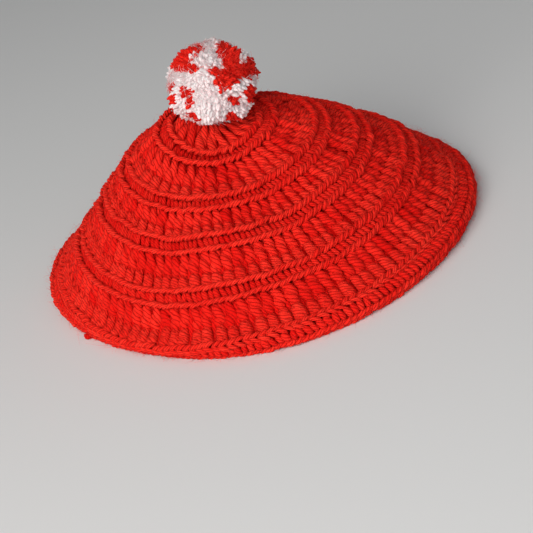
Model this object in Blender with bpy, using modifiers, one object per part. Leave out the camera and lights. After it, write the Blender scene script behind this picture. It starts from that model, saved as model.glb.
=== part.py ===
"""A crocheted beret of thick red yarn with a red and white pompom, resting on its rim.

Z is up and the floor is z = 0. +X is the front of the hat and +Y its left side.
The crown is one worked cloth: it spreads from the middle, rolls under at the rim and runs
back in to the opening. The headband stands in that opening and the pompom sits on top.
"""

import functools
import math
from collections import namedtuple

import bmesh
import bpy
import numpy as np
from mathutils import Matrix, Vector

# Sizes in metres.
RIM_RADIUS = 0.1385  # middle of the rim ring out to the middle of the rolled edge
ROLL_RADIUS = 0.0065  # half the thickness of the rolled edge
CROWN_RISE = 0.0896  # top of the rolled edge up to the middle of the crown
CENTRE_X = -0.009  # the crown's middle from the middle of the rim ring, along X
CENTRE_Y = 0.006  # the same along Y
CENTRE_DIP = 0.011  # how far the crown's middle is drawn in by the pompom
DIP_SPREAD = 0.16  # share of the way to the rim that the dip spreads over
WALL = 0.006  # thickness of the worked cloth
RIDGE_HEIGHT = 0.0022  # top of a ridge above the cloth beside it
RIDGE_FOOT = 0.0024  # middle of a ridge to its foot
ROW_BULGE = 0.0012  # middle of a tall row above its ends
REST_WIDTH = 0.011  # flat strip under the edge that rests on the floor
OPENING_RADIUS = 0.0885  # mean inner radius of the headband, for a head of about 56 cm
OPENING_OVAL = 0.06  # share by which the opening is longer along X and narrower along Y
BAND_WALL = 0.005  # thickness of the headband
BAND_TOP = 0.025  # top of the headband above the floor
BAND_BOTTOM = 0.002  # lower edge of the headband above the floor
BAND_ROUND = 0.0015  # how far its two edges are rounded out
GAP = 0.0004  # between neighbouring pieces
POMPOM_RADIUS = 0.0318  # middle of the pompom out to the ends of its longest locks
POMPOM_SQUASH = 0.91  # height of the pompom as a share of its width
POMPOM_X = 0.006  # its middle from the crown's middle, along X
LOCK_RADIUS = 0.0064  # half the thickness of one lock of cut yarns
LOCK_SPREAD = 0.0024  # most that a lock falls short of the longest ones
LOCK_GRAIN = 0.0030  # size of the cells that the locks are fused in
LOCKS = 90

AROUND = 56  # steps round the hat
ROLL_STEPS = 6  # steps round the rolled edge
UNDER_STEPS = 4  # steps across the underside
INSIDE_STEPS = 14  # steps along the crown's inner side
INSIDE_END = 0.94  # share of the way to the rim at which the inner side turns back
BAND_STEPS = 3  # steps up the headband
FINE = 120  # steps in which the cloth's length is measured

# The crown's section every 45 degrees, from +X towards +Y. reach is a share of RIM_RADIUS.
# fullness puffs the middle of the section up and sweep puffs it up near the crown's middle
# and presses it in near the rim, both as shares of CROWN_RISE.
Section = namedtuple("Section", "azimuth reach fullness sweep")
SECTIONS = (
    Section(0, 1.016, 0.158, -0.009),
    Section(45, 1.013, 0.209, 0.020),
    Section(90, 1.002, 0.201, 0.096),
    Section(135, 1.104, 0.182, 0.111),
    Section(180, 1.019, 0.257, 0.032),
    Section(225, 0.920, 0.205, -0.029),
    Section(270, 0.962, 0.097, -0.015),
    Section(315, 0.962, 0.118, 0.003),
)

# The ridges on each side of the four short rows, as shares of the cloth's length from the
# crown's middle to the rolled edge. Tall rows lie between the pairs.
ShortRow = namedtuple("ShortRow", "inner outer")
SHORT_ROWS = (
    ShortRow(0.178, 0.236),
    ShortRow(0.393, 0.446),
    ShortRow(0.557, 0.614),
    ShortRow(0.759, 0.813),
)

# Folds of the crown. azimuth and spread are in degrees, distance and reach are shares of the
# cloth's length, and depth is a share of WALL, which is negative where the fold is raised.
Fold = namedtuple("Fold", "azimuth distance spread reach depth")
FOLDS = (
    Fold(228, 0.66, 9, 0.20, 0.75),
    Fold(250, 0.65, 14, 0.26, -0.50),
    Fold(286, 0.60, 8, 0.21, 0.35),
    Fold(6, 0.97, 4, 0.06, 0.50),
)


def around(column, azimuth):
    """The value of a column of SECTIONS at this azimuth, as one smooth closed wave."""
    total = 0.0
    for row in SECTIONS:
        half = (azimuth - math.radians(row.azimuth)) / 2
        weight = 1.0
        if abs(math.sin(half)) > 1e-7:
            weight = math.sin(len(SECTIONS) * half) / (len(SECTIONS) * math.tan(half))
        total += weight * getattr(row, column)
    return total


def sheet(azimuth, share):
    """The plain crown at a share of the way from its middle to the rolled edge."""
    left = 1 - share
    rim = RIM_RADIUS * around("reach", azimuth) * share
    height = 2 * ROLL_RADIUS + CROWN_RISE * left
    height += CROWN_RISE * around("fullness", azimuth) * 4 * share * left
    height += CROWN_RISE * around("sweep", azimuth) * 10.4 * share * left * (1 - 2 * share)
    height -= CENTRE_DIP * math.exp(-((share / DIP_SPREAD) ** 2))
    x = CENTRE_X * left + rim * math.cos(azimuth)
    y = CENTRE_Y * left + rim * math.sin(azimuth)
    return Vector((x, y, height))


def outward(azimuth, share):
    """The outward direction of the plain crown."""
    step = 0.01
    share = min(max(share, 0.03), 1 - step)
    along = sheet(azimuth, share + step) - sheet(azimuth, share - step)
    across = sheet(azimuth + step, share) - sheet(azimuth - step, share)
    return along.cross(across).normalized()


@functools.lru_cache(maxsize=None)
def lengths(azimuth):
    """Distance along the cloth from its middle, at FINE + 1 even shares."""
    points = [sheet(azimuth, i / FINE) for i in range(FINE + 1)]
    steps = [(b - a).length for a, b in zip(points, points[1:])]
    return np.concatenate(([0.0], np.cumsum(steps)))


@functools.lru_cache(maxsize=None)
def cloth():
    """The cloth's mean length from the crown's middle to the rolled edge."""
    return sum(lengths(math.radians(row.azimuth))[-1] for row in SECTIONS) / len(SECTIONS)


def share_at(azimuth, distance):
    """The share of the section that lies at a distance along the cloth."""
    return float(np.interp(distance, lengths(azimuth), np.linspace(0, 1, FINE + 1)))


def folds(azimuth, distance):
    """How far the folds raise the cloth here."""
    height = 0.0
    for fold in FOLDS:
        turn = azimuth - math.radians(fold.azimuth)
        turn = math.degrees(math.atan2(math.sin(turn), math.cos(turn))) / fold.spread
        along = (distance / cloth() - fold.distance) / fold.reach
        height -= fold.depth * WALL * math.exp(-turn * turn - along * along)
    return height


def tall_rows(azimuth):
    """Start and end of each tall row, as distances along the cloth."""
    starts = [row.outer * cloth() for row in SHORT_ROWS]
    ends = [row.inner * cloth() for row in SHORT_ROWS[1:]] + [lengths(azimuth)[-1]]
    return list(zip(starts, ends))


def rings(azimuth):
    """Rings of the outer side: distance along the cloth and height above the plain crown."""
    first = SHORT_ROWS[0].inner * cloth()
    found = [(first * part, 0.0) for part in (0.28, 0.6)]
    for row, (start, end) in zip(SHORT_ROWS, tall_rows(azimuth)):
        for ridge in (row.inner * cloth(), row.outer * cloth()):
            found += [(ridge - RIDGE_FOOT, 0.0), (ridge, RIDGE_HEIGHT), (ridge + RIDGE_FOOT, 0.0)]
        for part in (0.35, 0.65):
            found.append((start + (end - start) * part, ROW_BULGE))
    found += [(lengths(azimuth)[-1] - RIDGE_FOOT, 0.0), (lengths(azimuth)[-1], 0.0)]
    return found


def opening(azimuth, wall):
    """A point of the opening's edge on the floor, a wall's thickness out from the head."""
    radius = OPENING_RADIUS * (1 + OPENING_OVAL * math.cos(2 * azimuth)) + wall
    x = CENTRE_X + radius * math.cos(azimuth)
    y = CENTRE_Y + radius * math.sin(azimuth)
    return Vector((x, y, 0))


def crown_section(azimuth):
    """A section of the crown, from its middle outside to its middle inside."""
    points = [sheet(azimuth, 0)]
    for distance, height in rings(azimuth):
        share = share_at(azimuth, distance)
        raised = height + folds(azimuth, distance)
        points.append(sheet(azimuth, share) + outward(azimuth, share) * raised)

    aim = Vector((math.cos(azimuth), math.sin(azimuth), 0))
    rim = RIM_RADIUS * around("reach", azimuth)
    for i in range(1, ROLL_STEPS + 1):
        angle = math.pi * (0.5 - i / ROLL_STEPS)
        height = ROLL_RADIUS * (1 + math.sin(angle))
        points.append(aim * (rim + ROLL_RADIUS * math.cos(angle)) + Vector((0, 0, height)))

    strip = aim * (rim - REST_WIDTH)
    under = []
    for i in range(UNDER_STEPS + 1):
        part = i / UNDER_STEPS
        rise = (BAND_TOP - WALL) * part * part * (3 - 2 * part)
        under.append(strip.lerp(opening(azimuth, BAND_WALL + GAP), part) + Vector((0, 0, rise)))
    points += under
    points += [point + Vector((0, 0, WALL)) for point in reversed(under[1:])]

    for i in range(INSIDE_STEPS + 1):
        share = INSIDE_END * (1 - i / INSIDE_STEPS)
        raised = folds(azimuth, float(np.interp(share * FINE, range(FINE + 1), lengths(azimuth))))
        if i == INSIDE_STEPS:
            points.append(sheet(azimuth, 0) - Vector((0, 0, WALL)))
        else:
            points.append(sheet(azimuth, share) + outward(azimuth, share) * (raised - WALL))
    return points


def band_section(azimuth):
    """A closed section of the headband, with its first corner repeated at the end."""
    inner = opening(azimuth, 0)
    outer = opening(azimuth, BAND_WALL)
    tall = BAND_TOP - BAND_BOTTOM
    heights = [BAND_BOTTOM + tall * i / BAND_STEPS for i in range(BAND_STEPS + 1)]
    points = [inner + Vector((0, 0, height)) for height in heights]
    points.append(inner.lerp(outer, 0.5) + Vector((0, 0, BAND_TOP + BAND_ROUND)))
    points += [outer + Vector((0, 0, height)) for height in reversed(heights)]
    points.append(inner.lerp(outer, 0.5) + Vector((0, 0, BAND_BOTTOM - BAND_ROUND)))
    return points + points[:1]


def turned(section):
    """A closed body with this section all round."""
    count = len(section(0.0))
    bm = bmesh.new()
    bmesh.ops.create_grid(bm, x_segments=AROUND, y_segments=count - 1, size=0.5)
    sections = [section(2 * math.pi * i / AROUND) for i in range(AROUND)]
    for vertex in bm.verts:
        step = round((vertex.co.x + 0.5) * AROUND) % AROUND
        level = round((vertex.co.y + 0.5) * (count - 1))
        vertex.co = sections[step][level]
    bmesh.ops.remove_doubles(bm, verts=bm.verts, dist=1e-6)
    bmesh.ops.recalc_face_normals(bm, faces=bm.faces)
    return bm


def pompom_locks():
    """The locks of the pompom, each a rounded tuft, still overlapping."""
    bm = bmesh.new()
    core = POMPOM_RADIUS - LOCK_RADIUS
    bmesh.ops.create_icosphere(bm, subdivisions=3, radius=core)
    golden = math.pi * (3 - math.sqrt(5))
    for i in range(LOCKS):
        up = 1 - 2 * (i + 0.5) / LOCKS
        flat = math.sqrt(1 - up * up)
        aim = Vector((flat * math.cos(golden * i), flat * math.sin(golden * i), up))
        short = LOCK_SPREAD * (0.5 + 0.5 * math.sin(7.3 * i))
        place = Matrix.Translation(aim * (POMPOM_RADIUS - LOCK_RADIUS - short))
        bmesh.ops.create_icosphere(bm, subdivisions=2, radius=LOCK_RADIUS, matrix=place)
    for vertex in bm.verts:
        vertex.co.z *= POMPOM_SQUASH
    return bm


def put(name, bm, collection, colour, roughness):
    """Makes an object with a material of its own from a bmesh."""
    mesh = bpy.data.meshes.new(name)
    bm.to_mesh(mesh)
    bm.free()
    obj = bpy.data.objects.new(name, mesh)
    collection.objects.link(obj)
    material = bpy.data.materials.new(name)
    material.use_nodes = True
    shader = material.node_tree.nodes["Principled BSDF"]
    shader.inputs["Base Color"].default_value = (*colour, 1)
    shader.inputs["Roughness"].default_value = roughness
    shader.inputs["Metallic"].default_value = 0.0
    mesh.materials.append(material)
    mesh.shade_smooth()
    return obj


def seat(piece, support):
    """Lowers a piece until it stands just clear of the support under it."""
    bpy.context.view_layer.update()
    solid = piece.evaluated_get(bpy.context.evaluated_depsgraph_get())
    height = 0.0
    for vertex in solid.data.vertices:
        above = Vector((piece.location.x + vertex.co.x, piece.location.y + vertex.co.y, 1))
        hit, place, _, _ = support.ray_cast(above, Vector((0, 0, -1)))
        if hit:
            height = max(height, place.z - vertex.co.z)
    piece.location.z = height + GAP


def main():
    for obj in list(bpy.data.objects):
        bpy.data.objects.remove(obj, do_unlink=True)
    beret = bpy.data.collections.new("beret")
    bpy.context.scene.collection.children.link(beret)

    crown = put("crown", turned(crown_section), beret, (0.62, 0.012, 0.006), 0.92)
    band = put("headband", turned(band_section), beret, (0.50, 0.010, 0.006), 0.92)
    pompom = put("pompom", pompom_locks(), beret, (0.80, 0.40, 0.37), 0.95)

    fuse = pompom.modifiers.new("fuse", "REMESH")
    fuse.mode = "VOXEL"
    fuse.voxel_size = LOCK_GRAIN
    fuse.use_smooth_shade = True

    # The middle of the outline goes to x = 0 and y = 0, with the rim on the floor.
    corners = [vertex.co for vertex in crown.data.vertices]
    middle_x = (min(c.x for c in corners) + max(c.x for c in corners)) / 2
    middle_y = (min(c.y for c in corners) + max(c.y for c in corners)) / 2
    crown.location = (-middle_x, -middle_y, 0)
    band.parent = crown
    pompom.parent = crown
    pompom.location = (CENTRE_X + POMPOM_X, CENTRE_Y, 0)
    seat(pompom, crown)


main()
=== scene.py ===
"""The looks of a crocheted beret: every round of yarn, the pompom, the headband and the stage.

The crown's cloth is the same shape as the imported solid. Strands of yarn are laid on it by their
azimuth, their place in the rounds, from the crown's middle out and over the rim, and their
height above the cloth. Sizes are in metres where nothing else is said.
"""

import functools
import math
from collections import namedtuple

import bmesh
import bpy
import numpy as np
from mathutils import Matrix, Vector


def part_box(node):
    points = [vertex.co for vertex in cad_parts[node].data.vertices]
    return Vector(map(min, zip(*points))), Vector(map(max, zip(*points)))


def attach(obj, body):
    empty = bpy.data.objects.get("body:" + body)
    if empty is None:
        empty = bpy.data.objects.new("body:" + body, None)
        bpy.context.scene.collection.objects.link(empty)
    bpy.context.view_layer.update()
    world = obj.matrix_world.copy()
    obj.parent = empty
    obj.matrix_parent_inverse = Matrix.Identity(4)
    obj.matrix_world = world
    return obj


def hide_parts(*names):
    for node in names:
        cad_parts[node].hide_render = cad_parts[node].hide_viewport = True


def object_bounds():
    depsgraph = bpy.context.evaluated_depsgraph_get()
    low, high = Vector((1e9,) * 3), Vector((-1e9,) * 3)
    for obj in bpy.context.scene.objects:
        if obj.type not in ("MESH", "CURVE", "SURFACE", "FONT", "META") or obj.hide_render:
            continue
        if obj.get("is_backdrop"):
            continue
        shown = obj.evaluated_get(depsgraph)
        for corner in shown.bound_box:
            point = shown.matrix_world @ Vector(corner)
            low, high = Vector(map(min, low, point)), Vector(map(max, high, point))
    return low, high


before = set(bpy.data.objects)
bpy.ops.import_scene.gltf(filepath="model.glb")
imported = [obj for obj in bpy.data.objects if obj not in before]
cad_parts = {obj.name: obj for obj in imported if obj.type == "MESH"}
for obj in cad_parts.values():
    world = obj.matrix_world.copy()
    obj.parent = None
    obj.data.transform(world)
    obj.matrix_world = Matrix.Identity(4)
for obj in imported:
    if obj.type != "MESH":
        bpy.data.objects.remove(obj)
CAD_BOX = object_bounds()

bl_info = {
    "name": "Crocheted beret",
    "version": (1, 0, 0),
    "blender": (4, 5, 0),
    "location": "View3D > Sidebar > Beret",
    "description": "Rounds of crocheted yarn, a pompom and a headband for a beret, with its stage",
    "category": "Object",
}

TURN = 2 * np.pi

# The crown's cloth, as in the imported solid.
RIM_RADIUS = 0.1385
ROLL_RADIUS = 0.0065
CROWN_RISE = 0.0896
CENTRE_X = -0.009
CENTRE_Y = 0.006
CENTRE_DIP = 0.011
DIP_SPREAD = 0.16
SWEEP_PEAK = 10.4  # brings the highest point of the sweep's wave to 1
WALL = 0.006
REST_WIDTH = 0.011
OPENING_RADIUS = 0.0885
OPENING_OVAL = 0.06
BAND_WALL = 0.005
BAND_TOP = 0.025
BAND_BOTTOM = 0.002
GAP = 0.0004
AROUND = 56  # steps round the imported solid, whose outline is centred on the origin

Section = namedtuple("Section", "azimuth reach fullness sweep")
SECTIONS = (
    Section(0, 1.016, 0.158, -0.009),
    Section(45, 1.013, 0.209, 0.020),
    Section(90, 1.002, 0.201, 0.096),
    Section(135, 1.104, 0.182, 0.111),
    Section(180, 1.019, 0.257, 0.032),
    Section(225, 0.920, 0.205, -0.029),
    Section(270, 0.962, 0.097, -0.015),
    Section(315, 0.962, 0.118, 0.003),
)

Fold = namedtuple("Fold", "azimuth distance spread reach depth")
FOLDS = (
    Fold(228, 0.66, 9, 0.20, 0.75),
    Fold(250, 0.65, 14, 0.26, -0.50),
    Fold(286, 0.60, 8, 0.21, 0.35),
    Fold(6, 0.97, 4, 0.06, 0.50),
)

# The rounds, from the middle out, over the rim and in to the opening. start and end are shares
# of the cloth's length up to the rim chain at RIM_CHAIN, and from there on the rest of the
# cloth is spread between RIM_CHAIN and CLOTH_END.
RIM_CHAIN = 0.982
CLOTH_END = 1.38
TallRound = namedtuple("TallRound", "start end stitches turns lean offset foot")
TALL_ROUNDS = (
    TallRound(0.020, 0.178, 20, 1.0, 0.30, 0.0, 0.0),
    TallRound(0.236, 0.393, 42, 0.8, 0.15, 0.3, 0.38),
    TallRound(0.446, 0.557, 72, 0.7, 0.10, 0.7, 0.40),
    TallRound(0.614, 0.759, 86, 0.8, 0.10, 0.1, 0.42),
    TallRound(0.813, 0.970, 97, 0.8, 0.10, 0.5, 0.44),
)
UNDER_ROUNDS = (
    TallRound(1.090, 1.195, 90, 0.8, 0.10, 0.2, 0.40),
    TallRound(1.215, 1.335, 76, 0.8, 0.10, 0.6, 0.40),
)
ShortRound = namedtuple("ShortRound", "inner outer stitches")
SHORT_ROUNDS = (
    ShortRound(0.178, 0.236, 36),
    ShortRound(0.393, 0.446, 66),
    ShortRound(0.557, 0.614, 80),
    ShortRound(0.759, 0.813, 92),
)
RIM_ROUND = ShortRound(0.992, 1.034, 97)
EDGE_ROPES = (1.044, 1.064)
BRIM_END_ROUND = ShortRound(1.345, 1.375, 76)

BAND_ROUNDS = 4
BAND_STITCHES = 76
POMPOM_ENDS = 2700
CROWN_FIBRES = 5000
POMPOM_FIBRES = 2400
CROWN_LENGTHS = (0.0025, 0.0065)  # least and greatest length of the crown's loose fibres
POMPOM_LENGTHS = (0.003, 0.006)

# Where red shows on the pompom, as seen by the reference camera (near) and from behind it
# (far), as places and half widths in shares of the pompom's half width.
Patch = namedtuple("Patch", "right up wide high")
NEAR_PATCHES = (
    Patch(-0.58, 0.80, 0.17, 0.20), Patch(-0.72, 0.52, 0.22, 0.26), Patch(-0.45, 0.33, 0.16, 0.10),
    Patch(-0.34, 0.88, 0.08, 0.20), Patch(0.20, 0.86, 0.15, 0.14), Patch(0.42, 0.55, 0.20, 0.28),
    Patch(0.52, 0.22, 0.22, 0.24), Patch(0.05, 0.27, 0.17, 0.10), Patch(0.26, 0.06, 0.22, 0.26),
    Patch(0.84, 0.32, 0.20, 0.26), Patch(0.84, -0.27, 0.14, 0.20), Patch(0.56, -0.46, 0.13, 0.15),
    Patch(-0.95, -0.12, 0.08, 0.14), Patch(-0.88, -0.36, 0.10, 0.11),
    Patch(-0.62, -0.20, 0.12, 0.14), Patch(-0.50, -0.48, 0.08, 0.12),
    Patch(-0.44, -0.85, 0.21, 0.11), Patch(0.45, -0.84, 0.16, 0.11),
)
FAR_PATCHES = (
    Patch(-0.50, 0.35, 0.30, 0.26), Patch(0.10, 0.70, 0.26, 0.22), Patch(0.45, 0.05, 0.26, 0.34),
    Patch(-0.15, -0.20, 0.22, 0.18), Patch(-0.70, -0.30, 0.18, 0.26),
    Patch(0.20, -0.65, 0.30, 0.16), Patch(0.85, 0.30, 0.16, 0.22),
)

SIDES = 6
POST_RINGS = 9  # rings of points along a strand of a post
LOOP_RINGS = 7
SHORT_RINGS = 5
FIBRE_SIDES = 3
FIBRE_RINGS = 4
LOWEST = 0.0001  # what rests on the floor is pressed flat just above it

# Tables of the cloth, by azimuth and by distance along it
AZIMUTHS = 720
CLOTH_STEP = 0.0005
CLOTH_STEPS = 620
TOP_STEPS = 161
ROLL_STEPS = 25
UNDER_STEPS = 41
BEYOND = 0.02  # how far the tables go on past the opening's edge
POLE = 0.004  # the cloth faces straight up this near its middle

# The crown's right side, in degrees: where it starts, and how far on it ends and blends.
RIGHT_START = 255
RIGHT_TURN = 240
RIGHT_BLEND = 60
PLACE_SPREAD = 0.05  # how far off its place a stitch is, in stitches
CLOSER = 0.22  # how much closer the loops of a rope lie at azimuth CLOSEST than on average
CLOSEST = 205
LOOPS_START = 1.0  # azimuth of the first loop, in radians

# The reference camera, and where its target stands in the 533-pixel frame.
FRAME_SIZE = 533
CAMERA_DISTANCE = 1.1
CAMERA_ELEVATION = 24.68
CAMERA_ROLL = 17.41
TARGET = Vector((0.00133, -0.0032, 0.05))
TARGET_PIXEL = (247.1, 182.3)
FOCAL_PIXELS = 1653.3
SENSOR = 36.0


def linear(hex_colour):
    """An sRGB hex colour as linear red, green and blue."""
    parts = [int(hex_colour[i : i + 2], 16) / 255 for i in (0, 2, 4)]
    return tuple(c / 12.92 if c <= 0.04045 else ((c + 0.055) / 1.055) ** 2.4 for c in parts)


def unit(vectors):
    """The vectors at length 1."""
    return vectors / np.maximum(np.linalg.norm(vectors, axis=-1, keepdims=True), 1e-12)


def square_to(vectors, rng):
    """A random direction square to each of the vectors."""
    return unit(np.cross(vectors, rng.normal(0, 1, vectors.shape)))


# The cloth


def around(column, azimuth):
    """The value of a column of SECTIONS at these azimuths, as one smooth closed wave."""
    half = (np.asarray(azimuth)[..., None] - np.radians([row.azimuth for row in SECTIONS])) / 2
    near = np.abs(np.sin(half)) < 1e-7
    safe = np.where(near, 0.5, half)
    count = len(SECTIONS)
    weights = np.where(near, 1.0, np.sin(count * safe) / (count * np.tan(safe)))
    return weights @ np.array([getattr(row, column) for row in SECTIONS])


@functools.lru_cache(maxsize=None)
def shift():
    """From the middle of the rim ring to the middle of the outline, which is the origin."""
    azimuth = np.arange(AROUND) * TURN / AROUND
    reach = RIM_RADIUS * around("reach", azimuth) + ROLL_RADIUS
    x, y = reach * np.cos(azimuth), reach * np.sin(azimuth)
    return np.array([-(x.min() + x.max()) / 2, -(y.min() + y.max()) / 2, 0.0])


def sheet(azimuth, share):
    """The plain crown at a share of the way from its middle to the rolled edge."""
    azimuth, share = np.broadcast_arrays(azimuth, share)
    left = 1 - share
    rim = RIM_RADIUS * around("reach", azimuth) * share
    height = 2 * ROLL_RADIUS + CROWN_RISE * left
    height = height + CROWN_RISE * around("fullness", azimuth) * 4 * share * left
    wave = SWEEP_PEAK * share * left * (1 - 2 * share)
    height = height + CROWN_RISE * around("sweep", azimuth) * wave
    height = height - CENTRE_DIP * np.exp(-((share / DIP_SPREAD) ** 2))
    x = CENTRE_X * left + rim * np.cos(azimuth)
    y = CENTRE_Y * left + rim * np.sin(azimuth)
    return np.stack([x, y, height], -1) + shift()


def opening(azimuth, wall):
    """Points of the opening's edge on the floor, a wall's thickness out from the head."""
    radius = OPENING_RADIUS * (1 + OPENING_OVAL * np.cos(2 * azimuth)) + wall
    x = CENTRE_X + radius * np.cos(azimuth)
    y = CENTRE_Y + radius * np.sin(azimuth)
    return np.stack([x, y, 0 * x], -1) + shift()


def underside(azimuth, part):
    """The underside, from the resting strip (0) in and up to the opening (1)."""
    rim = RIM_RADIUS * around("reach", azimuth) - REST_WIDTH
    strip = np.stack([rim * np.cos(azimuth), rim * np.sin(azimuth), 0 * rim], -1) + shift()
    points = strip + (opening(azimuth, BAND_WALL + GAP) - strip) * part
    points[..., 2] += (BAND_TOP - WALL) * part * part * (3 - 2 * part)
    return points


@functools.lru_cache(maxsize=None)
def cloth():
    """Points and outward directions of the cloth by azimuth and distance, and its lengths."""
    azimuth = np.arange(AZIMUTHS) * TURN / AZIMUTHS
    shares = np.linspace(0, 1, TOP_STEPS)
    top = sheet(azimuth[:, None], shares[None])
    rim = (RIM_RADIUS * around("reach", azimuth))[:, None]
    angle = np.linspace(np.pi / 2, -np.pi / 2, ROLL_STEPS)[None, 1:]
    out = rim + ROLL_RADIUS * np.cos(angle)
    cos, sin = np.cos(azimuth)[:, None], np.sin(azimuth)[:, None]
    high = np.broadcast_to(ROLL_RADIUS * (1 + np.sin(angle)), out.shape)
    roll = np.stack([out * cos, out * sin, high], -1) + shift()
    under = np.stack([underside(azimuth, part) for part in np.linspace(0, 1, UNDER_STEPS)], 1)
    beyond = under[:, -1:] + (0, 0, BEYOND)
    points = np.concatenate([top, roll, under, beyond], 1)
    steps = np.linalg.norm(np.diff(points, axis=1), axis=2)
    along = np.concatenate([np.zeros((AZIMUTHS, 1)), np.cumsum(steps, 1)], 1)
    even = np.arange(CLOTH_STEPS) * CLOTH_STEP
    table = np.empty((AZIMUTHS, CLOTH_STEPS, 3))
    for i in range(AZIMUTHS):
        for k in range(3):
            table[i, :, k] = np.interp(even, along[i], points[i, :, k])
    forward = np.gradient(table, axis=1)
    across = np.roll(table, -1, 0) - np.roll(table, 1, 0)
    normals = unit(np.cross(forward, across))
    normals[:, : int(POLE / CLOTH_STEP)] = (0, 0, 1)
    last = (along[:, -1:] / CLOTH_STEP).astype(int)
    for i in range(AZIMUTHS):
        normals[i, last[i, 0] :] = normals[i, last[i, 0] - 2]
    edge, end = along[:, len(shares) - 1], along[:, -2]
    mean = edge[:: AZIMUTHS // len(SECTIONS)].mean()
    return table, normals, end, mean


def blended(table, azimuth, distance):
    """The value of a table by azimuth and distance, between its entries."""
    turn = np.mod(azimuth, TURN) * AZIMUTHS / TURN
    i = np.floor(turn).astype(int)
    f = (turn - i)[..., None]
    i = i % AZIMUTHS
    step = np.clip(distance / CLOTH_STEP, 0, CLOTH_STEPS - 1.001)
    j = np.floor(step).astype(int)
    g = (step - j)[..., None]
    k = (i + 1) % AZIMUTHS
    return (table[i, j] * (1 - g) + table[i, j + 1] * g) * (1 - f) + (
        table[k, j] * (1 - g) + table[k, j + 1] * g
    ) * f


def distance_of(azimuth, run):
    """Distance along the cloth for a place in the rounds."""
    table, normals, end, mean = cloth()
    turn = np.mod(azimuth, TURN) * AZIMUTHS / TURN
    whole = np.interp(turn, np.arange(AZIMUTHS + 1), np.append(end, end[0]))
    chain = RIM_CHAIN * mean
    past = chain + (run - RIM_CHAIN) / (CLOTH_END - RIM_CHAIN) * (whole - chain)
    return np.where(run <= RIM_CHAIN, run * mean, past)


def folds(azimuth, share):
    """How far the folds raise the cloth."""
    height = 0.0
    for fold in FOLDS:
        turn = azimuth - math.radians(fold.azimuth)
        turn = np.degrees(np.arctan2(np.sin(turn), np.cos(turn))) / fold.spread
        along = (share - fold.distance) / fold.reach
        height = height - fold.depth * WALL * np.exp(-turn * turn - along * along)
    return height


def on_cloth(azimuth, run, height):
    """Places on the crown's cloth, with its outward direction there."""
    azimuth, run, height = np.broadcast_arrays(azimuth, run, height)
    distance = distance_of(azimuth, run)
    table, normals, end, mean = cloth()
    out = unit(blended(normals, azimuth, distance))
    raised = height + folds(azimuth, distance / mean)
    return blended(table, azimuth, distance) + out * raised[..., None], out


# Strands


@functools.lru_cache(maxsize=None)
def strand_shape(sides, rings):
    """A closed straight strand: ring and side of each point, and its faces' corners."""
    bm = bmesh.new()
    bmesh.ops.create_cone(
        bm, cap_ends=True, cap_tris=False, segments=sides, radius1=1, radius2=1, depth=1
    )
    upright = [e for e in bm.edges if abs(e.verts[0].co.z - e.verts[1].co.z) > 0.5]
    bmesh.ops.subdivide_edges(bm, edges=upright, cuts=rings - 2, use_grid_fill=True)
    bmesh.ops.recalc_face_normals(bm, faces=bm.faces)
    bm.verts.index_update()
    ring = np.array([round((v.co.z + 0.5) * (rings - 1)) for v in bm.verts])
    turn = np.array([math.atan2(v.co.y, v.co.x) / TURN for v in bm.verts])
    side = np.round((turn - turn[0]) * sides).astype(int) % sides
    corners, starts, across = [], [], []
    for face in bm.faces:
        starts.append(len(corners))
        own = [loop.vert.index for loop in face.loops]
        wraps = {int(side[i]) for i in own} == {0, sides - 1}
        corners += own
        across += [1.0 if wraps and side[i] == 0 else side[i] / sides for i in own]
    bm.free()
    return ring, side, np.array(corners), np.array(starts), np.array(across)


def tubes(points, out, radius, flat, sides):
    """Points of tubes that follow routes: (strands, rings, 3) to (strands, points, 3)."""
    rings = points.shape[1]
    along = unit(np.gradient(points, axis=1))
    sideways = unit(np.cross(out, along))
    up = np.cross(along, sideways)
    ring, side = strand_shape(sides, rings)[:2]
    angle = side * TURN / sides
    reach = radius[:, ring, None]
    round_part = np.cos(angle)[None, :, None] * sideways[:, ring]
    high_part = flat * np.sin(angle)[None, :, None] * up[:, ring]
    return points[:, ring] + reach * (round_part + high_part)


def travelled(points):
    """Distance along each route at its rings."""
    steps = np.linalg.norm(np.diff(points, axis=1), axis=2)
    return np.concatenate([np.zeros((len(points), 1)), np.cumsum(steps, 1)], 1)


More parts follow.
